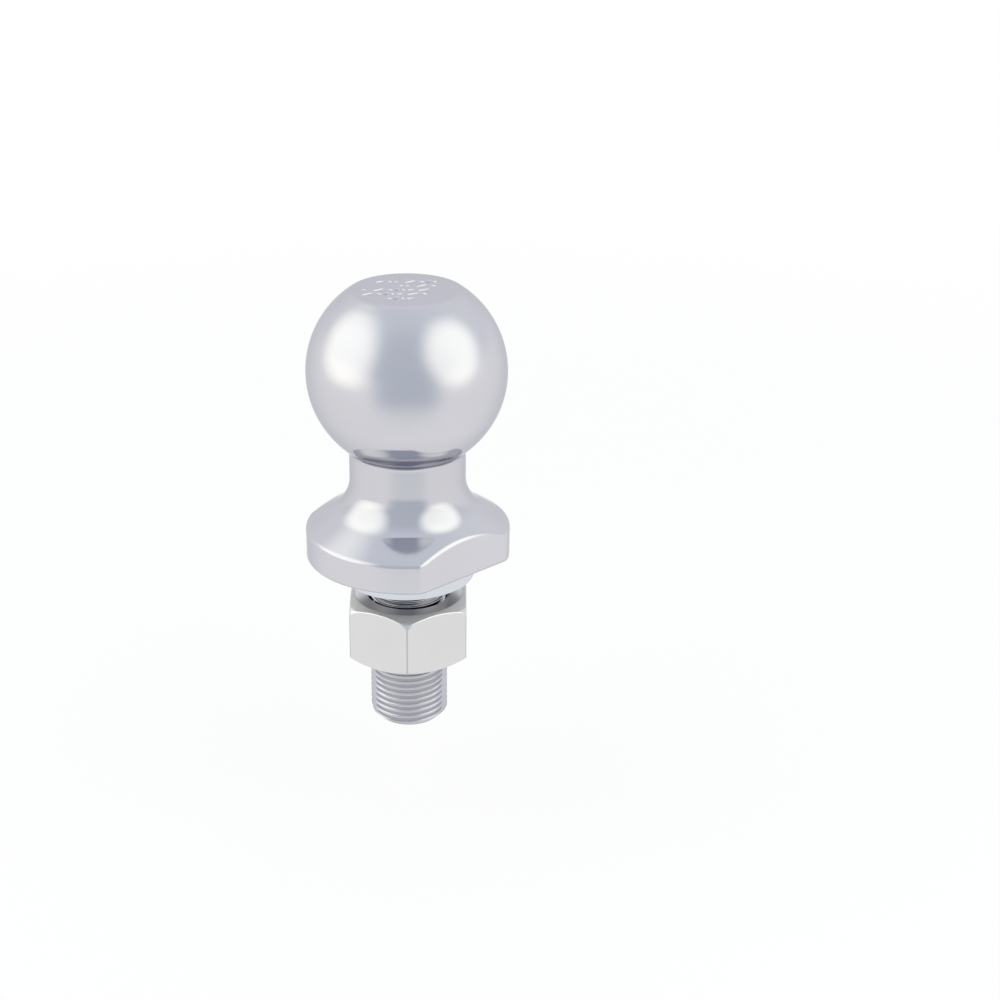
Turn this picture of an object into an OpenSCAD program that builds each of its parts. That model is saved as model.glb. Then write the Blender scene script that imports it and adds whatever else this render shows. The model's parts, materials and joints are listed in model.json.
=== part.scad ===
// Tow ball: a forged ball stud with its split spring washer and its hex nut.
// The origin is the centre of the seat, the face that bears on the tow bar.
// +Z points up to the ball, and the two wrench flats face -Y and +Y.

/* [Ball] */
// Diameter of the ball
ball_d = 47.625; // [44:0.125:52]
// Height of the ball's centre above the seat
ball_centre_h = 46.55; // [43:0.05:54]
// Height of the turned top face above the ball's centre
top_face_h = 19.9; // [16:0.1:22]

/* [Neck] */
// Diameter of the neck
neck_d = 28; // [24:0.5:32]
// Radius of the small fillet between ball and neck
ball_fillet = 2; // [0.5:0.25:4]
// Radius of the large fillet between neck and shoulder
root_fillet = 10.5; // [6:0.5:12]

/* [Flange] */
// Diameter of the flange
flange_d = 49.5; // [46:0.5:56]
// Height of the flange's upright rim
rim_h = 7.1; // [5:0.1:10]
// Slope of the shoulder above the rim, in degrees
shoulder_slope = 34; // [26:1:40]
// Width across the two wrench flats
flats_w = 41.275; // [38:0.125:46]
// Size of the broken edge round the bottom of the rim
rim_edge = 0.4; // [0.2:0.1:1.5]
// Depth of the relief in the middle of the seat
relief_depth = 0.4; // [0.2:0.1:1.5]
// Gap between the relief's wall and the washer, all round
relief_gap = 0.95; // [0.5:0.05:2]

/* [Shank] */
// Outer diameter of the thread
shank_d = 19.05; // [16:0.05:22]
// Length of the shank below the seat
shank_len = 44.6; // [38:0.1:70]
// Height of one turn of the thread
thread_pitch = 1.5875; // [1:0.0125:2.5]
// Size of the chamfer at the shank's end
end_chamfer = 1.9; // [0.5:0.1:3]

/* [Washer] */
// Outer diameter of the washer
washer_d = 32.1; // [28:0.1:36]
// Gap between the washer and the shank, all round
washer_bore_gap = 0.2; // [0.1:0.05:0.5]
// Thickness of the washer's section
washer_t = 4.8; // [3:0.1:6]
// Height that the spring rises from one end to the other
washer_rise = 3; // [0.6:0.1:4]
// Width of the split between the two ends
washer_split = 2.4; // [1:0.1:5]
// Broken edge along the washer's corners
washer_edge = 0.5; // [0.2:0.1:1]
// Angle by which the loose washer hangs askew, in degrees
washer_lean = 3; // [0:0.25:3.5]
// Direction in which the split faces, in degrees from +X
washer_turn = 49; // [0:1:359]
// Gap between the washer's high end and the relief
washer_seat_gap = 0.05; // [0.02:0.01:0.3]

/* [Nut] */
// Width across the nut's flats
nut_w = 28.575; // [26:0.125:34]
// Height of the nut
nut_h = 16.1; // [10:0.1:20]
// Diameter of the round face inside the chamfer
nut_face_d = 26.8; // [24:0.1:28]
// Slope of the chamfer on the nut's corners, in degrees
nut_chamfer_slope = 30; // [15:1:45]
// Gap between the nut's bore and the shank, all round
nut_bore_gap = 0.05; // [0.02:0.01:0.1]
// Width of the countersink at each end of the bore
nut_countersink = 0.7; // [0.2:0.1:1.5]
// Gap between the washer's low end and the nut
nut_gap = 3.65; // [0.5:0.05:8]
// Direction of one corner of the nut, in degrees from +X
nut_turn = -12.6; // [-30:0.1:30]

/* [Hidden] */
$fn = 96;
// Overlap of cutting shapes past the faces that they cut
past = 1;
// Steps round the washer's coil
coil_steps = 72;

ball_r = ball_d / 2;
neck_r = neck_d / 2;
flange_r = flange_d / 2;
shank_r = shank_d / 2;
washer_r = washer_d / 2;

// Depth of the thread's groove, as on a 60 degree thread, and half its width outside and at its root
thread_depth = 0.6134 * thread_pitch;
groove_mouth = 7 / 16 * thread_pitch;
groove_root = groove_mouth - thread_depth * tan(30);
runout_len = 1.5 * thread_pitch;
runout_r = shank_r - thread_depth;
relief_r = washer_r + relief_gap;

// The thread runs from the end's chamfer up to the runout
thread_low = end_chamfer - shank_len;
thread_high = relief_depth - runout_len - thread_depth;
groove_count = floor((thread_high - thread_low) / thread_pitch);

// Centre of the small fillet: it touches the neck's side and the ball
ball_fillet_r = neck_r + ball_fillet;
ball_fillet_h = ball_centre_h - sqrt((ball_r + ball_fillet) ^ 2 - ball_fillet_r ^ 2);

// Centre of the large fillet: it touches the neck's side and the shoulder
root_r = neck_r + root_fillet;
root_h = rim_h + (flange_r - root_r) * tan(shoulder_slope) + root_fillet / cos(shoulder_slope);
// Where the large fillet meets the shoulder
root_touch_r = root_r - root_fillet * sin(shoulder_slope);
root_touch_h = root_h - root_fillet * cos(shoulder_slope);

// The washer's coil, from its low end to the face that its high end meets
washer_top = relief_depth - washer_seat_gap;
coil_h = washer_t + washer_rise;
washer_low = washer_top - coil_h;
washer_bore_r = shank_r + washer_bore_gap;
split_angle = 2 * asin(washer_split / (washer_bore_r + washer_r));

nut_top = washer_low - nut_gap;
nut_bore_r = shank_r + nut_bore_gap;
nut_face_r = nut_face_d / 2;
// Corner radius of the nut, and the chamfer's depth at a circle outside it
nut_corner_r = nut_w / 2 / cos(30);
nut_blank_r = nut_corner_r + past;
nut_chamfer_h = (nut_blank_r - nut_face_r) * tan(nut_chamfer_slope);

// Half of the ball's outline, cut off by the top face
module ball_outline() {
    intersection() {
        translate([0, ball_centre_h]) circle(r = ball_r);
        translate([0, ball_fillet_h])
            square([ball_r + past, ball_centre_h + top_face_h - ball_fillet_h]);
    }
}

// Half of the outline below the ball: shank, seat, rim, shoulder and neck
module stem_outline() {
    difference() {
        polygon([
            [0, -shank_len],
            [shank_r - end_chamfer, -shank_len],
            [shank_r, thread_low],
            [shank_r, thread_high],
            [runout_r, relief_depth - runout_len],
            [runout_r, relief_depth],
            [relief_r, relief_depth],
            [relief_r, 0],
            [flange_r - rim_edge, 0],
            [flange_r, rim_edge],
            [flange_r, rim_h],
            [root_touch_r, root_touch_h],
            [root_r, root_h],
            [ball_fillet_r, ball_fillet_h],
            [0, ball_centre_h]
        ]);
        translate([root_r, root_h]) circle(r = root_fillet);
        translate([ball_fillet_r, ball_fillet_h]) circle(r = ball_fillet);
        translate([neck_r, root_h]) square([ball_r, ball_fillet_h - root_h]);
        thread_grooves();
    }
}

// Section of the thread's grooves, as rings in place of one long helix
module thread_grooves() {
    for (i = [0:groove_count - 1])
        translate([shank_r, thread_low + (i + 1 / 2) * thread_pitch])
            polygon([
                [past, -groove_mouth],
                [0, -groove_mouth],
                [-thread_depth, -groove_root],
                [-thread_depth, groove_root],
                [0, groove_mouth],
                [past, groove_mouth]
            ]);
}

// The block cut away outside one wrench flat
module flat_cut() {
    translate([-flange_r - past, flats_w / 2, -past])
        cube([flange_d + 2 * past, flange_r, root_h + past]);
}

module ball_stud() {
    color([0.78, 0.78, 0.81])
        difference() {
            rotate_extrude() {
                ball_outline();
                stem_outline();
            }
            for (side = [0, 1])
                mirror([0, side, 0]) flat_cut();
        }
}

// Corners of the washer's section, as radius and height
washer_section = [
    [washer_bore_r, washer_edge],
    [washer_bore_r + washer_edge, 0],
    [washer_r - washer_edge, 0],
    [washer_r, washer_edge],
    [washer_r, washer_t - washer_edge],
    [washer_r - washer_edge, washer_t],
    [washer_bore_r + washer_edge, washer_t],
    [washer_bore_r, washer_t - washer_edge]
];

// A corner of the section at one step of the coil, which rises clockwise
function coil_point(step, corner) =
    let (
        turned = split_angle / 2 + (360 - split_angle) * step / coil_steps,
        r = corner[0]
    )
    [r * cos(turned), -r * sin(turned), corner[1] + washer_rise * step / coil_steps];

module coil() {
    n = len(washer_section);
    points = [for (step = [0:coil_steps]) for (corner = washer_section) coil_point(step, corner)];
    sides = [
        for (step = [0:coil_steps - 1]) for (i = [0:n - 1])
            let (j = (i + 1) % n)
            [step * n + i, (step + 1) * n + i, (step + 1) * n + j, step * n + j]
    ];
    first_end = [for (i = [0:n - 1]) i];
    last_end = [for (i = [n - 1:-1:0]) coil_steps * n + i];
    polyhedron(points, concat(sides, [first_end, last_end]), convexity = 4);
}

// The spring washer hangs askew about the line through its split
module lock_washer() {
    color([0.80, 0.82, 0.86])
        translate([0, 0, washer_low])
            rotate([0, 0, washer_turn])
                translate([0, 0, coil_h / 2])
                    rotate([-washer_lean, 0, 0])
                        translate([0, 0, -coil_h / 2]) coil();
}

// Round blank of the nut, chamfered at both ends
module nut_blank() {
    rotate_extrude()
        polygon([
            [0, 0],
            [nut_face_r, 0],
            [nut_blank_r, nut_chamfer_h],
            [nut_blank_r, nut_h - nut_chamfer_h],
            [nut_face_r, nut_h],
            [0, nut_h]
        ]);
}

// Bore of the nut with a countersink at each end
module nut_bore() {
    rotate_extrude()
        polygon([
            [0, -past],
            [nut_bore_r + nut_countersink + past, -past],
            [nut_bore_r, nut_countersink],
            [nut_bore_r, nut_h - nut_countersink],
            [nut_bore_r + nut_countersink + past, nut_h + past],
            [0, nut_h + past]
        ]);
}

module hex_nut() {
    color([0.82, 0.82, 0.81])
        translate([0, 0, nut_top - nut_h])
            rotate([0, 0, nut_turn])
                difference() {
                    intersection() {
                        nut_blank();
                        linear_extrude(nut_h) circle(r = nut_corner_r, $fn = 6);
                    }
                    nut_bore();
                }
}

ball_stud();
lock_washer();
hex_nut();
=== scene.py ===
import json
import math

import bmesh
import bpy
from mathutils import Matrix, Quaternion, Vector

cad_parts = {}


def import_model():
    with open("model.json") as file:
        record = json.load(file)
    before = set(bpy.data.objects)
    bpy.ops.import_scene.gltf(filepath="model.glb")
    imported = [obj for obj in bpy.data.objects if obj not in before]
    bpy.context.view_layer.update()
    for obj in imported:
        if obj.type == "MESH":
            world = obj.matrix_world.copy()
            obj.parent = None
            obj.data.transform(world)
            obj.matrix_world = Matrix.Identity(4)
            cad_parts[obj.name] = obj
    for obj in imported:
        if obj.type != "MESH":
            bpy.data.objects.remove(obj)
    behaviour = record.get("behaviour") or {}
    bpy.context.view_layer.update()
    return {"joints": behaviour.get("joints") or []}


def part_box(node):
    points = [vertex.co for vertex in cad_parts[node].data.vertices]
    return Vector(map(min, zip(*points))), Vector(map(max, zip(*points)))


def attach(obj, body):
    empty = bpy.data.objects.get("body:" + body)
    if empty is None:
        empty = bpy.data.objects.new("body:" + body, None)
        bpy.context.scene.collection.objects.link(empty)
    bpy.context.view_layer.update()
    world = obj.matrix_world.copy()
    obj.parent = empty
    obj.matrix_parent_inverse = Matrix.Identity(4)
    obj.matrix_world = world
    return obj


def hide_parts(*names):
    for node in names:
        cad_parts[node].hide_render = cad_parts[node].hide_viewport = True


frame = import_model()

# Sizes are in millimetres and angles in degrees, unless a name says otherwise
MM = 0.001

# Heights that the frame gives
stud_low, stud_high = (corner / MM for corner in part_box("ball_stud"))
nut_low, nut_high = (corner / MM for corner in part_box("hex_nut"))
nut_travel = frame["joints"][0]["range_m"]

# Ball, neck and flange
BALL_R = 47.625 / 2
BALL_H = 46.55
NECK_R = 14
BALL_FILLET = 2
ROOT_FILLET = 10.5
FLANGE_R = 24.75
RIM_H = 7.1
SHOULDER_SLOPE = 34
FLAT_DISTANCE = 41.275 / 2
RELIEF_R = 17
RELIEF_DEPTH = 0.4

# Soft edges left by forging, turning and plating. First the length and radius of the ball's top edge
TOP_EDGE = 2.4
TOP_EDGE_R = 0.8 * TOP_EDGE
RIM_TOP_EDGE = 1.1
RIM_LOW_EDGE = 0.22
FLAT_EDGE = 0.55
FLAT_LOW_EDGE = 0.15
# The flats end at least this far from the neck
FLAT_MARGIN = 0.5

# Thread of the shank, 60 degrees, right-hand. Its crest is an eighth of the pitch wide
SHANK_R = 19.05 / 2
PITCH = 1.5875
THREAD_DEPTH = 0.6134 * PITCH
ROOT_R = SHANK_R - THREAD_DEPTH
END_CHAMFER = 1.9
RUNOUT_H = RELIEF_DEPTH - 1.5 * PITCH
THREAD_CREST = 1 / 8
# Worn edges of crest and root, as shares of the pitch and of the depth
THREAD_BEVEL = 0.018
THREAD_BEVEL_DEPTH = 0.035
# How far the helix is lowered, to put its crests where the photograph has them
THREAD_DROP = 0.79

# Spring washer
WASHER_R = 16.05
WASHER_BORE_R = SHANK_R + 0.2
WASHER_T = 4.8
WASHER_RISE = 3
WASHER_SPLIT = 2.4
WASHER_EDGE = 0.45
WASHER_LEAN = 3
WASHER_TURN = 49
WASHER_TOP = RELIEF_DEPTH - 0.05

# Nut
NUT_W = 28.575
NUT_FACE_R = 13.4
NUT_CHAMFER_SLOPE = 30
NUT_BORE_R = SHANK_R + 0.05
NUT_THREAD_DEPTH = 0.65
NUT_COUNTERSINK = 0.7
NUT_TURN = -12.6
NUT_MOUTH_MARGIN = 0.3
NUT_CORNER_EDGE = 0.5
NUT_RIM_EDGE = 0.45
# The upper chamfer runs more softly into the nut's corners, over this many degrees to each side
NUT_TIP_EDGE = 2.6
NUT_TIP_SPREAD = 9

# Stamped marks on the ball's top: plain bars that spell nothing
MARK_DEPTH = 0.26
MARK_WIDTH = 0.6
MARK_SLOPE = 0.15
MARK_SPACE = 0.55
MARK_HEADING = -41
# Rows of bars, as distance along the heading, start and end
MARK_ROWS = [(6.2, -7.5, 9.4), (3.1, -2, 8.5), (0, -10.5, 7.5), (-3.1, -10.5, 6.5), (-6.4, -5, 5)]
# Lengths and turns that the bars take one after another
MARK_LENGTHS = (2.6, 1.3, 2, 3.2, 1.6)
MARK_TURNS = (29, -40, 12, 35, -30, 70, -46, 22)

# Fineness of the meshes
ARC_STEP = 2.2
EDGE_STEPS = 5
ROOT_FILLET_STEPS = 22
BALL_FILLET_STEPS = 8
RIM_STEP = 1.5
SHOULDER_STEP = 0.32
THREAD_SIDES = 96
WASHER_STEPS = 150
NUT_RIM_STEPS = 3
NUT_LOW_STEPS = 4
NUT_HIGH_STEPS = 6
MARK_END_STEPS = 4
# Columns of half the flange, as start, end and count, close together where the flats meet rim and shoulder
FLANGE_COLUMNS = [(0, 53, 36), (53, 60, 20), (60, 120, 80), (120, 127, 20), (127, 180, 36)]
# Columns beside a corner of the nut
NUT_COLUMNS = [0, 0.3, 0.6, 0.9, 1.5, 2.5, 4, 6, 8, 11, 14, 22, 30]
SMOOTH_ANGLE = 40
MERGE_DISTANCE = 1e-4

# Half the floor's width, and its distance under the nut at the end of its travel, in metres
FLOOR_HALF = 4
FLOOR_CLEARANCE = 0.002
FLOOR_PAINT = (0.97, 0.97, 0.97)
# Share of plain white in the floor at the object, where its shadow falls, and metres over which it grows to 1
FLOOR_GLOW = 0.75
FLOOR_GLOW_REACH = (0.15, 0.6)
# Metres in front over which the mirrored floor turns to the room's colour, and how far to the sides it does
FLOOR_FRONT = (0.08, 0.45)
FLOOR_FRONT_SIDES = (0.7, 0.95)
# Metres over which the mirrored floor has a painted shadow under the object, and how light it is there
FLOOR_PAINTED_SHADOW = (0.01, 0.08)
FLOOR_PAINTED_SHADOW_LIGHT = 0.25
# Softboxes: their colour, and their distance from the ball in metres
SOFTBOX_COLOR = (1, 0.96, 0.76)
SOFTBOX_DISTANCE = 0.6
# Share of a softbox's size from its middle to its edge
SOFTBOX_EDGE = 0.5
# Height over which the white floor fades into the room behind the object, as the sine of the angle
HORIZON_FADE = 0.25
# Colours of the room, from behind the object round to the camera
ROOM_COLORS = [
    (0, (0.94, 0.94, 0.96)),
    (0.35, (0.86, 0.88, 0.92)),
    (0.52, (0.78, 0.815, 0.875)),
    (0.62, (0.77, 0.81, 0.87)),
    (0.82, (0.66, 0.7, 0.77)),
    (1, (0.635, 0.68, 0.75)),
]

# Finish of each piece. Gloss is one roughness or stops by height, in metres, and shades are such stops too:
# they are painted shade, a little darker on the neck and under the ball, and darker down the shank towards
# its end.
# Places of painted shade have an inner and outer radius, a height below which they lie, and a colour; they
# lie deep in the thread, in the bores, along the flange's lower edge and along the nut's corners. Painted
# shade under things is the colour of what faces down, in full out to one radius and in part out to another.
# "turned" is roughness that is added on chamfers and flat ends, and "stretch" lengthens the glints on the
# grooves of turning
STUD_FINISH = {
    "light": (0.65, 0.65, 0.69),
    "dark": (0.63, 0.63, 0.668),
    "edge": (0.7, 0.7, 0.74),
    "gloss": [(0, 0.08), (0.0345, 0.08), (0.039, 0.22), (0.07, 0.22)],
    "grain": 0.02,
    # Painted shade deep in the thread and along the flange's lower edge
    "painted_shade_places": [(0, 9.25, -1, (0.6, 0.6, 0.64)), (20.4, 26, 0.5, (0.42, 0.42, 0.45))],
    # Painted shade: a little darker on the neck and under the ball, darker down the shank towards its end
    "painted_shades": [
        (-0.045, 0.84),
        (-0.036, 0.92),
        (-0.005, 0.94),
        (0, 1),
        (0.012, 1),
        (0.014, 0.95),
        (0.035, 0.95),
        (0.038, 1),
    ],
    # Painted shade on what faces down, at the middle of the shank's end
    "painted_shade_under": (0, 1, (0.5, 0.5, 0.5)),
}
WASHER_FINISH = {
    "light": (0.69, 0.72, 0.77),
    "dark": (0.66, 0.69, 0.74),
    "edge": (0.85, 0.88, 0.92),
    "gloss": 0.14,
    "grain": 0.01,
    # Painted shade in the washer's bore
    "painted_shade_places": [(0, 9.8, 10, (0.3, 0.31, 0.33))],
    # Painted shade on the washer's underside
    "painted_shade_under": (13.4, 15.2, (0.12, 0.12, 0.13)),
}
NUT_FINISH = {
    "light": (0.725, 0.725, 0.725),
    "dark": (0.7, 0.7, 0.7),
    "edge": (0.85, 0.85, 0.85),
    "gloss": 0.2,
    "grain": 0.004,
    # Painted shade in the nut's bore and along its corners
    "painted_shade_places": [(0, 10.3, 10, (0.06, 0.06, 0.065)), (16.38, 20, 10, (0.5, 0.5, 0.5))],
    "turned": 0.45,
}
NUT_FACE_FINISH = {**NUT_FINISH, "gloss": 0.3, "turned": 0, "stretch": 0.9}
# Widths over which a place of painted shade fades at its inner radius, outer radius and top
PAINTED_SHADE_FADES = (0.1, 0.2, 0.5)
# Upward part of the normal over which a surface stops facing down
DOWN_FACING = (-0.8, -0.5)
# Size of that part over which a surface begins to count as a chamfer or flat end
TURNED_FACING = (0.72, 0.84)
# Scale of the mottled colour, and the part of a noise's range that colour and gloss follow
MOTTLE_SCALE = 55
NOISE_RANGE = (0.3, 0.7)
# Slow waves that polishing leaves, their height in metres, and the fine grain
WAVE_SCALE = 90
WAVE_STRENGTH = 0.08
WAVE_HEIGHT = 0.0003
GRAIN_SCALE = 2200
GRAIN_HEIGHT = 0.00005
# How much the roughness varies to each side
GLOSS_SPREAD = 0.02
# A quarter turn, which lays the grooves of turning round the axis
GROOVE_TURN = 0.25

# Camera, fitted to the photograph
CAMERA_SIDE = -41
CAMERA_HEADING = 2.869 - CAMERA_SIDE
CAMERA_DOWN = 23.593
CAMERA_ROLL = 0.718
CAMERA_DISTANCE = 444.95
CAMERA_HEIGHT = 207.74
FOCAL_PIXELS = 2005.5
IMAGE_PIXELS = 1000
SENSOR_WIDTH = 36


def arc(centre, radius, start, end, steps):
    """Points of (radius, height) along an arc, both ends included."""
    points = []
    for i in range(steps + 1):
        turn = math.radians(start + (end - start) * i / steps)
        points.append((centre[0] + radius * math.cos(turn), centre[1] + radius * math.sin(turn)))
    return points


def rounded_corner(before, corner, after, radius, steps):
    """Points of an arc that touches both straight sides of a corner."""
    corner = Vector(corner)
    back = (Vector(before) - corner).normalized()
    ahead = (Vector(after) - corner).normalized()
    half = back.angle(ahead) / 2
    centre = corner + (back + ahead).normalized() * radius / math.sin(half)
    first = corner + back * radius / math.tan(half) - centre
    last = corner + ahead * radius / math.tan(half) - centre
    whole = first.angle(last)
    points = []
    for i in range(steps + 1):
        a = math.sin(whole * (1 - i / steps)) / math.sin(whole)
        b = math.sin(whole * i / steps) / math.sin(whole)
        points.append(tuple(centre + a * first + b * last))
    return points


def rounded_profile(corners):
    """A profile through (radius, height, edge radius, steps) corners, sharp where the edge radius is 0."""
    points = []
    for i, (r, h, edge, steps) in enumerate(corners):
        if edge == 0:
            points.append((r, h))
        else:
            points += rounded_corner(corners[i - 1][:2], (r, h), corners[i + 1][:2], edge, steps)
    return points


def divided(points, longest):
    """The same line with points added, so that no step is longer than longest."""
    result = [points[0]]
    for before, after in zip(points, points[1:]):
        count = max(1, math.ceil(math.dist(before, after) / longest))
        for i in range(1, count + 1):
            share = i / count
            result.append(tuple(a + (b - a) * share for a, b in zip(before, after)))
    return result


def add_ring(bm, points):
    return [bm.verts.new(p) for p in points]


def join_rings(bm, lower, upper):
    """Quads between two closed rings of the same count."""
    count = len(lower)
    for i in range(count):
        j = (i + 1) % count
        bm.faces.new((lower[i], lower[j], upper[j], upper[i]))


def join_all(bm, rings):
    for lower, upper in zip(rings, rings[1:]):
        join_rings(bm, lower, upper)


def polar(radius, degrees, height):
    turn = math.radians(degrees)
    return (radius * math.cos(turn), radius * math.sin(turn), height)


def finished_piece(bm, name, node, body, materials):
    """Closes the mesh, turns it to metres and ties it to the frame."""
    bmesh.ops.remove_doubles(bm, verts=bm.verts, dist=MERGE_DISTANCE)
    bmesh.ops.recalc_face_normals(bm, faces=bm.faces)
    bmesh.ops.scale(bm, vec=(MM, MM, MM), verts=bm.verts)
    mesh = bpy.data.meshes.new(name)
    bm.to_mesh(mesh)
    bm.free()
    mesh.shade_smooth()
    mesh.set_sharp_from_angle(angle=math.radians(SMOOTH_ANGLE))
    for material in materials:
        mesh.materials.append(material)
    piece = bpy.data.objects.new(name, mesh)
    bpy.context.scene.collection.objects.link(piece)
    weighted = piece.modifiers.new("even_normals", "WEIGHTED_NORMAL")
    weighted.keep_sharp = True
    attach(piece, body)
    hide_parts(node)
    return piece


def thread_steps():
    """Shares of one turn and of the depth, from one crest round to the next."""
    crest = THREAD_CREST / 2
    flank = THREAD_DEPTH * math.tan(math.radians(30)) / PITCH
    bevel = THREAD_BEVEL
    return [
        (0, 0),
        (crest - bevel, 0),
        (crest + bevel, THREAD_BEVEL_DEPTH),
        (crest + flank / 2, 0.5),
        (crest + flank - bevel, 1 - THREAD_BEVEL_DEPTH),
        (0.5, 1),
        (1 - crest - flank + bevel, 1 - THREAD_BEVEL_DEPTH),
        (1 - crest - flank / 2, 0.5),
        (1 - crest - bevel, THREAD_BEVEL_DEPTH),
        (1 - crest + bevel, 0),
    ]


def thread_wall(bm, low, high, radius_at):
    """A right-hand helical wall between two heights, in an empty mesh. Returns the edges of its two ends."""
    steps = thread_steps()
    turns = math.ceil((high - low) / PITCH) + 3
    start = low - PITCH - THREAD_DROP
    columns = []
    for i in range(THREAD_SIDES):
        degrees = 360 * i / THREAD_SIDES
        column = []
        for turn in range(turns):
            for share, depth in steps:
                height = start + PITCH * (turn + share + degrees / 360)
                height = min(max(height, low), high)
                column.append(bm.verts.new(polar(radius_at(height, depth), degrees, height)))
        columns.append(column)
    count, last = len(steps), len(columns[0]) - 1
    for i, column in enumerate(columns):
        wrapped = i == len(columns) - 1
        following = columns[0] if wrapped else columns[i + 1]
        shift = count if wrapped else 0
        for j in range(last):
            near, far = min(j + shift, last), min(j + 1 + shift, last)
            corners = [column[j], following[near], following[far], column[j + 1]]
            if near == far:
                corners.pop(2)
            bm.faces.new(corners)
    bmesh.ops.remove_doubles(bm, verts=bm.verts, dist=MERGE_DISTANCE)
    open_edges = [e for e in bm.edges if e.is_boundary]
    return [
        [e for e in open_edges if all(abs(v.co.z - end) < MERGE_DISTANCE for v in e.verts)]
        for end in (low, high)
    ]


def ring_edges(bm, ring):
    return [bm.edges.get((ring[i - 1], ring[i])) for i in range(len(ring))]


def flange_angles():
    """Directions of the stud's columns, all round."""
    half = [start + (end - start) * i / n for start, end, n in FLANGE_COLUMNS for i in range(n)]
    return half + [180 + a for a in half]


def flat_distance(height):
    """Distance of a wrench flat from the axis, less where its low edge is rounded."""
    if height >= FLAT_LOW_EDGE:
        return FLAT_DISTANCE
    below = FLAT_LOW_EDGE - max(height, 0)
    return FLAT_DISTANCE - FLAT_LOW_EDGE + math.sqrt(FLAT_LOW_EDGE ** 2 - below ** 2)


def cut_radius(radius, height, outward, degrees):
    """Radius of the stud in one direction, with a soft edge where the turned form meets a flat."""
    across = abs(math.sin(math.radians(degrees)))
    distance = flat_distance(height)
    a = outward ** 2 + across ** 2
    b = outward * (FLAT_EDGE - radius * outward) + across * (FLAT_EDGE - distance)
    c = (FLAT_EDGE - radius * outward) ** 2 + (FLAT_EDGE - distance) ** 2 - FLAT_EDGE ** 2
    inside = b * b - a * c
    if inside > 0:
        soft = (math.sqrt(inside) - b) / a
        from_turned = (soft - radius) * outward + FLAT_EDGE
        from_flat = soft * across - distance + FLAT_EDGE
        if from_turned > 0 and from_flat > 0:
            return soft
    return min(radius, distance / across) if across > 0 else radius


def stud_profile():
    """Half outline of the stud from the seat up to the top face, as radius and height."""
    rise = (FLANGE_R - NECK_R) * math.tan(math.radians(SHOULDER_SLOPE))
    fillet_r = NECK_R + BALL_FILLET
    reach = BALL_R + BALL_FILLET
    fillet_h = BALL_H - math.sqrt(reach ** 2 - fillet_r ** 2)
    touch = math.degrees(math.atan2(fillet_h - BALL_H, fillet_r))
    lower = rounded_profile([
        (RELIEF_R, 0, 0, 0),
        (FLANGE_R, 0, RIM_LOW_EDGE, EDGE_STEPS),
        (FLANGE_R, RIM_H, RIM_TOP_EDGE, EDGE_STEPS),
        (NECK_R, RIM_H + rise, ROOT_FILLET, ROOT_FILLET_STEPS),
        (NECK_R, fillet_h, 0, 0),
    ])
    shoulder_start = 1 + 2 * (EDGE_STEPS + 1)
    rim = lower[1:shoulder_start]
    shoulder = lower[shoulder_start - 1:]
    fillet = arc((fillet_r, fillet_h), BALL_FILLET, 180, 180 + touch, BALL_FILLET_STEPS)
    top_r = math.sqrt(BALL_R ** 2 - (stud_high.z - BALL_H) ** 2)
    top_turn = math.degrees(math.atan2(stud_high.z - BALL_H, top_r))
    edge_turn = top_turn - math.degrees(TOP_EDGE / BALL_R)
    ball = arc((0, BALL_H), BALL_R, touch, edge_turn, round((edge_turn - touch) / ARC_STEP))
    edge = rounded_corner(ball[-1], (top_r, stud_high.z), (0, stud_high.z), TOP_EDGE_R, EDGE_STEPS)
    lower = lower[:1] + divided(rim, RIM_STEP) + divided(shoulder, SHOULDER_STEP)[1:]
    return lower + fillet[1:] + ball[1:] + edge


def stroke(place, length, width, turn):
    """Outline of a bar with round ends, counterclockwise, on the top face."""
    along = (length - width) / 2
    outline = []
    for end, first in ((along, -90), (-along, 90)):
        for i in range(MARK_END_STEPS + 1):
            a = math.radians(first + 180 * i / MARK_END_STEPS)
            outline.append(Vector((end + width / 2 * math.cos(a), width / 2 * math.sin(a))))
    spin = Matrix.Rotation(math.radians(turn), 2)
    return [spin @ p + Vector(place) for p in outline]


def marks():
    """Middle, length and turn of each bar, row by row."""
    spin = Matrix.Rotation(math.radians(MARK_HEADING), 2)
    bars = []
    for row, (ahead, left, right) in enumerate(MARK_ROWS):
        count = row
        while True:
            length = MARK_LENGTHS[count % len(MARK_LENGTHS)]
            turn = MARK_TURNS[count % len(MARK_TURNS)]
            reach = length * math.cos(math.radians(turn)) + MARK_SPACE
            if left + reach > right:
                break
            bars.append((spin @ Vector((left + reach / 2, ahead)), length, MARK_HEADING + turn))
            left += reach
            count += 1
    return bars


def top_face(bm, rim):
    """The turned top with its stamped marks."""
    height = rim[0].co.z
    edges = ring_edges(bm, rim)
    for place, length, turn in marks():
        mouth = stroke(place, length, MARK_WIDTH, turn)
        root = stroke(place, length - 2 * MARK_SLOPE, MARK_WIDTH - 2 * MARK_SLOPE, turn)
        upper = add_ring(bm, [(p.x, p.y, height) for p in mouth])
        lower = add_ring(bm, [(p.x, p.y, height - MARK_DEPTH) for p in root])
        join_rings(bm, lower, upper)
        bm.faces.new(lower)
        edges += ring_edges(bm, upper)
    bmesh.ops.triangle_fill(bm, use_beauty=True, use_dissolve=False, edges=edges, normal=(0, 0, 1))


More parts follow.
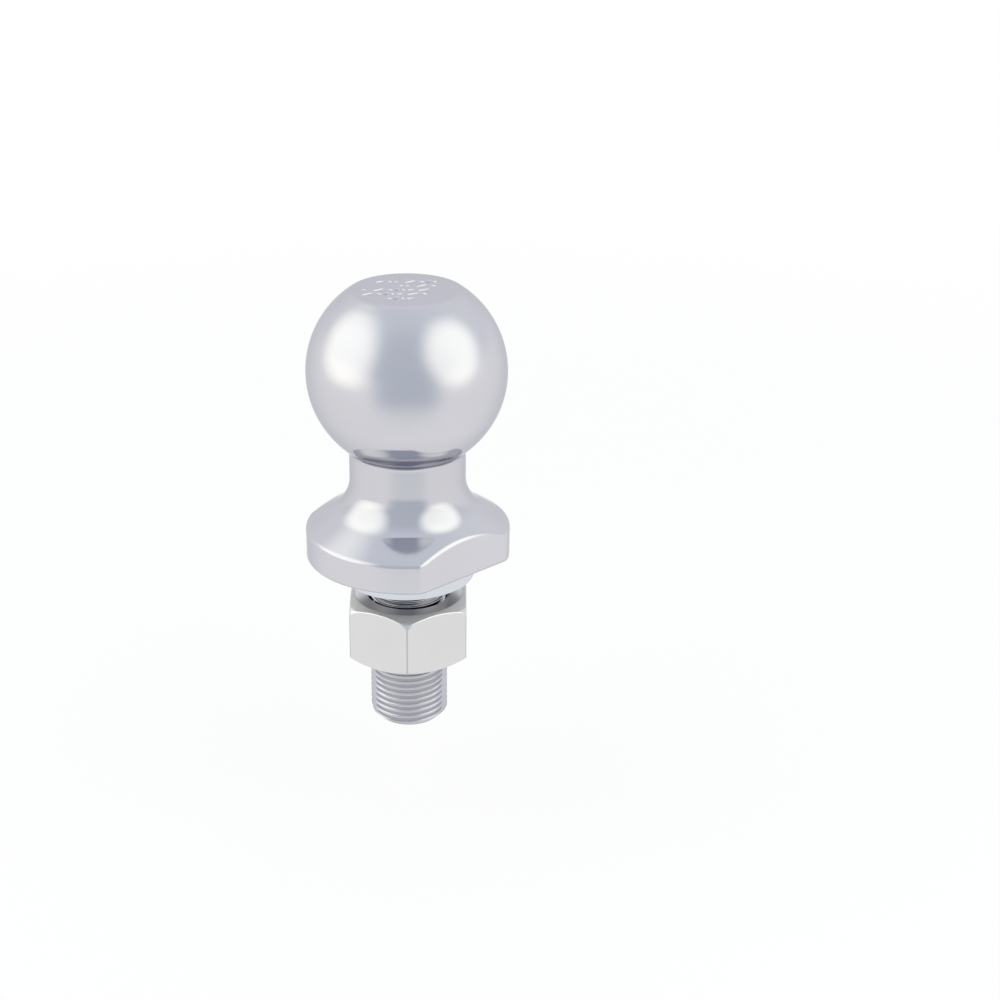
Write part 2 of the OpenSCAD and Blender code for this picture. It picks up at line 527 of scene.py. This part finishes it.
def ball_stud(material):
    bm = bmesh.new()

    def shank_radius(height, depth):
        threaded = SHANK_R - THREAD_DEPTH * depth
        chamfer = SHANK_R - END_CHAMFER + height - stud_low.z
        runout = ROOT_R + RUNOUT_H - height
        return max(min(threaded, chamfer, runout), min(chamfer, ROOT_R))

    end_edges, collar_edges = thread_wall(bm, stud_low.z, RUNOUT_H, shank_radius)
    bmesh.ops.edgeloop_fill(bm, edges=end_edges)
    raised = bmesh.ops.extrude_edge_only(bm, edges=collar_edges)["geom"]
    for vert in (v for v in raised if isinstance(v, bmesh.types.BMVert)):
        vert.co.z = RELIEF_DEPTH
    collar_edges = [e for e in raised if isinstance(e, bmesh.types.BMEdge) and e.is_boundary]

    profile = stud_profile()
    angles = flange_angles()
    rings = []
    for i, (radius, height) in enumerate(profile):
        before, after = profile[max(i - 1, 0)], profile[min(i + 1, len(profile) - 1)]
        outward = (after[1] - before[1]) / math.dist(before, after)
        if height < RIM_H - RIM_TOP_EDGE:
            outward = 1
        if height < RIM_H + ROOT_FILLET and radius > NECK_R + FLAT_MARGIN:
            radii = [cut_radius(radius, height, outward, a) for a in angles]
        else:
            radii = [radius] * len(angles)
        rings.append(add_ring(bm, [polar(r, a, height) for r, a in zip(radii, angles)]))
    join_all(bm, rings)
    top_face(bm, rings[-1])

    relief = add_ring(bm, [polar(RELIEF_R, a, RELIEF_DEPTH) for a in angles])
    join_rings(bm, relief, rings[0])
    bmesh.ops.bridge_loops(bm, edges=collar_edges + ring_edges(bm, relief))
    return finished_piece(bm, "plated_ball_stud", "ball_stud", "stud", [material])


def washer_section():
    """Closed outline of the washer's wire, as radius and height."""
    inner, outer, top = WASHER_BORE_R, WASHER_R, WASHER_T
    corners = [(inner, 0), (outer, 0), (outer, top), (inner, top)]
    outline = []
    for i, corner in enumerate(corners):
        outline += rounded_corner(corners[i - 1], corner, corners[(i + 1) % 4], WASHER_EDGE, EDGE_STEPS)
    return outline


def lock_washer(material):
    bm = bmesh.new()
    section = washer_section()
    gap = 2 * math.degrees(math.asin(WASHER_SPLIT / (WASHER_BORE_R + WASHER_R)))
    coil_h = WASHER_T + WASHER_RISE
    lean = Matrix.Rotation(math.radians(-WASHER_LEAN), 4, "X")
    lean = Matrix.Translation((0, 0, coil_h / 2)) @ lean @ Matrix.Translation((0, 0, -coil_h / 2))
    turn = Matrix.Rotation(math.radians(WASHER_TURN), 4, "Z")
    place = Matrix.Translation((0, 0, WASHER_TOP - coil_h)) @ turn @ lean
    rings = []
    for step in range(WASHER_STEPS + 1):
        share = step / WASHER_STEPS
        degrees = -gap / 2 - (360 - gap) * share
        rise = WASHER_RISE * share
        rings.append(add_ring(bm, [place @ Vector(polar(r, degrees, h + rise)) for r, h in section]))
    join_all(bm, rings)
    bm.faces.new(rings[0])
    bm.faces.new(rings[-1])
    return finished_piece(bm, "plated_lock_washer", "lock_washer", "stud", [material])


def nut_angles():
    """Directions of the nut's columns, close together at its six corners."""
    sector = [-a for a in reversed(NUT_COLUMNS[1:-1])] + NUT_COLUMNS
    return sorted((60 * k + a) % 360 for k in range(6) for a in sector)


def off_corner(degrees):
    """Degrees from the nearest corner of the nut."""
    return abs((degrees + 30) % 60 - 30)


def nut_side_radius(degrees):
    """Radius of the hexagon in one direction, with its corners rounded."""
    off = math.radians(off_corner(degrees))
    apothem = NUT_W / 2
    centre = (apothem - NUT_CORNER_EDGE) / math.cos(math.radians(30))
    half = math.radians(30)
    reach = math.atan2(NUT_CORNER_EDGE * math.sin(half), centre + NUT_CORNER_EDGE * math.cos(half))
    if off < reach:
        return centre * math.cos(off) + math.sqrt(NUT_CORNER_EDGE ** 2 - (centre * math.sin(off)) ** 2)
    return apothem / math.cos(half - off)


def nut_column(degrees):
    """Outside of the nut in one direction, from the countersink at the bottom to the one at the top."""
    side = nut_side_radius(degrees)
    drop = (side - NUT_FACE_R) * math.tan(math.radians(NUT_CHAMFER_SLOPE))
    mouth = NUT_BORE_R + NUT_COUNTERSINK + NUT_MOUTH_MARGIN
    low, high = nut_low.z, nut_high.z
    softness = max(0, 1 - off_corner(degrees) / NUT_TIP_SPREAD) ** 2
    edge = NUT_RIM_EDGE + (NUT_TIP_EDGE - NUT_RIM_EDGE) * softness
    return rounded_profile([
        (mouth, low, 0, 0),
        (NUT_FACE_R, low, NUT_RIM_EDGE, NUT_RIM_STEPS),
        (side, low + drop, NUT_RIM_EDGE, NUT_LOW_STEPS),
        (side, high - drop, edge, NUT_HIGH_STEPS),
        (NUT_FACE_R, high, NUT_RIM_EDGE, NUT_RIM_STEPS),
        (mouth, high, 0, 0),
    ])


def hex_nut(material, face_material):
    """The nut, whose two flat ends have a finish of their own."""
    bm = bmesh.new()

    def bore_radius(height, depth):
        into = min(height - nut_low.z, nut_high.z - height)
        threaded = NUT_BORE_R + NUT_THREAD_DEPTH * (1 - depth)
        return max(threaded, NUT_BORE_R + NUT_COUNTERSINK - into)

    mouths = thread_wall(bm, nut_low.z, nut_high.z, bore_radius)

    angles = nut_angles()
    columns = [nut_column(a) for a in angles]
    turned = [a + NUT_TURN for a in angles]
    rings = []
    for points in zip(*columns):
        rings.append(add_ring(bm, [polar(r, a, h) for (r, h), a in zip(points, turned)]))
    join_all(bm, rings)
    for ring, mouth in zip((rings[0], rings[-1]), mouths):
        bmesh.ops.bridge_loops(bm, edges=ring_edges(bm, ring) + mouth)
    for face in bm.faces:
        if all(min(v.co.z - nut_low.z, nut_high.z - v.co.z) < MERGE_DISTANCE for v in face.verts):
            face.material_index = 1
    return finished_piece(bm, "plated_hex_nut", "hex_nut", "nut", [material, face_material])


def node(tree, kind, inputs=None, **settings):
    """A new shader node. Each input is given as a value or as the output that feeds it."""
    made = tree.nodes.new("ShaderNode" + kind)
    for name, value in settings.items():
        setattr(made, name, value)
    for name, value in (inputs or {}).items():
        if isinstance(value, bpy.types.NodeSocket):
            tree.links.new(value, made.inputs[name])
        else:
            made.inputs[name].default_value = value
    return made


def calculate(tree, operation, first, second=0):
    return node(tree, "Math", {0: first, 1: second}, operation=operation).outputs["Value"]


def smooth_step(tree, value, start, end, before, after):
    """A value that changes smoothly from before to after, between start and end."""
    limits = {"Value": value, "From Min": start, "From Max": end, "To Min": before, "To Max": after}
    return node(tree, "MapRange", limits, interpolation_type="SMOOTHSTEP").outputs["Result"]


def color_ramp(tree, value, stops):
    """Colours at given shares of a value, and the blend between them."""
    ramp = node(tree, "ValToRGB", {"Fac": value})
    elements = ramp.color_ramp.elements
    while len(elements) < len(stops):
        elements.new(1)
    for element, (position, color) in zip(elements, stops):
        element.position, element.color = position, (*color, 1)
    return ramp.outputs["Color"]


def mixed_color(tree, share, first, second):
    return node(tree, "MixRGB", {"Fac": share, "Color1": first, "Color2": second}).outputs["Color"]


def material_tree(name):
    material = bpy.data.materials.new(name)
    material.use_nodes = True
    return material, material.node_tree


def height_of(tree, vector):
    return node(tree, "SeparateXYZ", {"Vector": vector}).outputs["Z"]


def length_of(tree, vector):
    return node(tree, "VectorMath", {0: vector}, operation="LENGTH").outputs["Value"]


def from_axis(tree, place):
    """Distance from the Z axis."""
    flat = node(tree, "VectorMath", {0: place, 1: (1, 1, 0)}, operation="MULTIPLY")
    return length_of(tree, flat.outputs["Vector"])


def noise(tree, place, scale, detail):
    return node(tree, "TexNoise", {"Vector": place, "Scale": scale, "Detail": detail}).outputs["Fac"]


def greys(tree, value, stops):
    """Greys that follow (value, grey) stops."""
    low, high = stops[0][0], stops[-1][0]
    share = node(tree, "MapRange", {"Value": value, "From Min": low, "From Max": high}).outputs["Result"]
    return color_ramp(tree, share, [((at - low) / (high - low), (grey, grey, grey)) for at, grey in stops])


def painted_shade_share(tree, radius, height, low, high, top):
    """How much of a place's painted shade shows: 1 between two radii and below a height."""
    inner, outer, upper = PAINTED_SHADE_FADES
    outside = smooth_step(tree, radius, (low - inner / 2) * MM, (low + inner / 2) * MM, 0, 1)
    inside = smooth_step(tree, radius, (high - outer / 2) * MM, (high + outer / 2) * MM, 1, 0)
    below = smooth_step(tree, height, (top - upper) * MM, top * MM, 1, 0)
    return calculate(tree, "MULTIPLY", calculate(tree, "MULTIPLY", outside, inside), below)


def plated_steel(name, light, dark, edge, gloss, grain, painted_shade_places, painted_shades=None, painted_shade_under=None, turned=0, stretch=0):
    """Satin plating: mottled colour and gloss, fine grain, slow waves, painted shade and turned faces."""
    material, tree = material_tree(name)
    texture = node(tree, "TexCoord").outputs
    place = texture["Object"]
    height = height_of(tree, place)
    radius = from_axis(tree, place)
    facing = height_of(tree, texture["Normal"])
    cloud = noise(tree, place, MOTTLE_SCALE, 4)
    color = color_ramp(tree, cloud, list(zip(NOISE_RANGE, (dark, light))))
    # Painted shade by height
    if painted_shades:
        tones = {"Fac": 1, "Color1": color, "Color2": greys(tree, height, painted_shades)}
        color = node(tree, "MixRGB", tones, blend_type="MULTIPLY").outputs["Color"]
    # Painted shade on what faces down
    if painted_shade_under:
        full, clear, paint = painted_shade_under
        down = smooth_step(tree, facing, *DOWN_FACING, 1, 0)
        near = smooth_step(tree, radius, full * MM, clear * MM, 1, 0)
        color = mixed_color(tree, calculate(tree, "MULTIPLY", down, near), color, (*paint, 1))
    # Painted shade in hollows, bores and along edges
    for low, high, top, paint in painted_shade_places:
        color = mixed_color(tree, painted_shade_share(tree, radius, height, low, high, top), color, (*paint, 1))

    fine = noise(tree, place, GRAIN_SCALE, 3)
    slow = noise(tree, place, WAVE_SCALE, 1)
    smoothness = greys(tree, height, gloss) if isinstance(gloss, list) else gloss
    variation = smooth_step(tree, fine, *NOISE_RANGE, -GLOSS_SPREAD, GLOSS_SPREAD)
    roughness = calculate(tree, "ADD", variation, smoothness)
    if turned > 0:
        level = calculate(tree, "ABSOLUTE", facing)
        roughness = calculate(tree, "ADD", roughness, smooth_step(tree, level, *TURNED_FACING, 0, turned))
    waves = node(tree, "Bump", {"Height": slow, "Strength": WAVE_STRENGTH, "Distance": WAVE_HEIGHT})
    bumps = {"Height": fine, "Strength": grain, "Distance": GRAIN_HEIGHT, "Normal": waves.outputs["Normal"]}
    relief = node(tree, "Bump", bumps)

    shader = tree.nodes["Principled BSDF"]
    shader.inputs["Metallic"].default_value = 1
    shader.inputs["Specular Tint"].default_value = (*edge, 1)
    tree.links.new(color, shader.inputs["Base Color"])
    tree.links.new(roughness, shader.inputs["Roughness"])
    tree.links.new(relief.outputs["Normal"], shader.inputs["Normal"])
    if stretch > 0:
        around = node(tree, "Tangent", direction_type="RADIAL", axis="Z")
        tree.links.new(around.outputs["Tangent"], shader.inputs["Tangent"])
        shader.inputs["Anisotropic"].default_value = stretch
        shader.inputs["Anisotropic Rotation"].default_value = GROOVE_TURN
    return material


def towards_camera(around, up):
    """A direction given by degrees round from the camera and degrees above the horizon."""
    side = math.radians(CAMERA_SIDE + around)
    lift = math.radians(up)
    return Vector((math.sin(side) * math.cos(lift), -math.cos(side) * math.cos(lift), math.sin(lift)))


def share_ahead(tree, direction):
    """1 straight ahead of the object, on the camera's side of the room, and -1 straight behind it."""
    turned = node(tree, "VectorMath", {0: direction, 1: towards_camera(0, 0)}, operation="DOT_PRODUCT")
    return turned.outputs["Value"]


def floor():
    """A wide floor that reads as white, keeps the object's shadow and is duller in front in reflections."""
    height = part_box("hex_nut")[0].z + nut_travel[0] - FLOOR_CLEARANCE
    quarters = ((-1, -1), (1, -1), (1, 1), (-1, 1))
    corners = [(x * FLOOR_HALF, y * FLOOR_HALF, height) for x, y in quarters]
    mesh = bpy.data.meshes.new("floor")
    mesh.from_pydata(corners, [], [(0, 1, 2, 3)])
    ground = bpy.data.objects.new("floor", mesh)
    bpy.context.scene.collection.objects.link(ground)

    material, tree = material_tree("floor")
    tree.nodes.clear()
    place = node(tree, "TexCoord").outputs["Object"]
    path = node(tree, "LightPath").outputs
    mirrored = calculate(tree, "MAXIMUM", path["Is Glossy Ray"], path["Is Transmission Ray"])
    away = length_of(tree, place)
    glow = smooth_step(tree, away, *FLOOR_GLOW_REACH, FLOOR_GLOW, 1)
    seen = calculate(tree, "MULTIPLY", glow, path["Is Camera Ray"])
    share = calculate(tree, "MAXIMUM", seen, mirrored)

    heading = node(tree, "VectorMath", {0: place}, operation="NORMALIZE").outputs["Vector"]
    in_front = smooth_step(tree, share_ahead(tree, heading), *FLOOR_FRONT_SIDES, 0, 1)
    dulled = calculate(tree, "MULTIPLY", in_front, smooth_step(tree, away, *FLOOR_FRONT, 0, 1))
    mirrored_front = calculate(tree, "MULTIPLY", dulled, mirrored)
    color = mixed_color(tree, mirrored_front, (1, 1, 1, 1), (*ROOM_COLORS[-1][1], 1))
    # Painted shadow: the mirrored floor is darker under the object
    painted_shade_under = smooth_step(tree, away, *FLOOR_PAINTED_SHADOW, FLOOR_PAINTED_SHADOW_LIGHT, 1)
    strength = calculate(tree, "MAXIMUM", painted_shade_under, path["Is Camera Ray"])
    white = node(tree, "Emission", {"Color": color, "Strength": strength})
    paint = node(tree, "BsdfDiffuse", {"Color": (*FLOOR_PAINT, 1)})
    both = node(tree, "MixShader", {0: share, 1: paint.outputs["BSDF"], 2: white.outputs["Emission"]})
    node(tree, "OutputMaterial", {"Surface": both.outputs["Shader"]})
    mesh.materials.append(material)


def world():
    """Room light: cool and dim towards the camera, paler above and behind, and plain white to the camera."""
    room = bpy.data.worlds.new("studio")
    bpy.context.scene.world = room
    room.use_nodes = True
    tree = room.node_tree
    tree.nodes.clear()
    place = node(tree, "TexCoord").outputs["Generated"]
    ahead = share_ahead(tree, place)
    round_share = node(tree, "Math", {0: ahead, 1: 0.5, 2: 0.5}, operation="MULTIPLY_ADD").outputs["Value"]
    low = smooth_step(tree, height_of(tree, place), 0, HORIZON_FADE, 1, 0)
    pale = calculate(tree, "MULTIPLY", low, smooth_step(tree, ahead, *FLOOR_FRONT_SIDES, 1, 0))
    color = mixed_color(tree, pale, color_ramp(tree, round_share, ROOM_COLORS), (1, 1, 1, 1))
    lit = node(tree, "Background", {"Color": color})
    white = node(tree, "Background", {"Color": (1, 1, 1, 1)})
    seen = node(tree, "LightPath").outputs["Is Camera Ray"]
    both = node(tree, "MixShader", {0: seen, 1: lit.outputs["Background"], 2: white.outputs["Background"]})
    node(tree, "OutputWorld", {"Surface": both.outputs["Shader"]})


def softbox(name, around, up, width, height, light, fade, roll):
    """A large lamp that faces the ball, brightest in the middle and fading towards its edges."""
    lamp = bpy.data.lights.new(name, "AREA")
    lamp.shape = "RECTANGLE"
    lamp.size, lamp.size_y = width, height
    lamp.energy = light * math.pi * width * height
    lamp.use_nodes = True
    tree = lamp.node_tree
    across = node(tree, "NewGeometry").outputs["Parametric"]
    middle = (SOFTBOX_EDGE, SOFTBOX_EDGE, 0)
    centred = node(tree, "VectorMath", {0: across, 1: middle}, operation="SUBTRACT").outputs["Vector"]
    off = from_axis(tree, centred)
    emission = tree.nodes["Emission"]
    emission.inputs["Color"].default_value = (*SOFTBOX_COLOR, 1)
    tree.links.new(smooth_step(tree, off, fade, SOFTBOX_EDGE, 1, 0), emission.inputs["Strength"])
    box = bpy.data.objects.new(name, lamp)
    direction = towards_camera(around, up)
    box.location = direction * SOFTBOX_DISTANCE + Vector((0, 0, BALL_H * MM))
    aimed = direction.to_track_quat("Z", "Y")
    box.rotation_euler = (aimed @ Quaternion((0, 0, 1), math.radians(roll))).to_euler()
    box.visible_camera = False
    bpy.context.scene.collection.objects.link(box)


def camera():
    """The camera that was fitted to the photograph."""
    lens = bpy.data.cameras.new("camera")
    lens.sensor_width = SENSOR_WIDTH
    lens.lens = FOCAL_PIXELS / IMAGE_PIXELS * SENSOR_WIDTH
    view = bpy.data.objects.new("camera", lens)
    side = math.radians(CAMERA_SIDE)
    place = Vector((math.sin(side) * CAMERA_DISTANCE, -math.cos(side) * CAMERA_DISTANCE, CAMERA_HEIGHT)) * MM
    heading = Matrix.Rotation(math.radians(-CAMERA_HEADING), 4, "Z")
    down = Matrix.Rotation(math.radians(90 - CAMERA_DOWN), 4, "X")
    roll = Matrix.Rotation(math.radians(CAMERA_ROLL), 4, "Z")
    view.matrix_world = Matrix.Translation(place) @ heading @ down @ roll
    bpy.context.scene.collection.objects.link(view)
    bpy.context.scene.camera = view


camera()
ball_stud(plated_steel("stud_plating", **STUD_FINISH))
lock_washer(plated_steel("washer_plating", **WASHER_FINISH))
hex_nut(plated_steel("nut_plating", **NUT_FINISH), plated_steel("nut_face_plating", **NUT_FACE_FINISH))
floor()
world()
softbox("left_softbox", around=-80, up=25, width=1.32, height=1.12, light=0.7, fade=0.17, roll=-25)
softbox("right_softbox", around=62, up=29, width=1.08, height=1, light=0.72, fade=0.22, roll=14)
bpy.context.scene.view_settings.view_transform = "Standard"
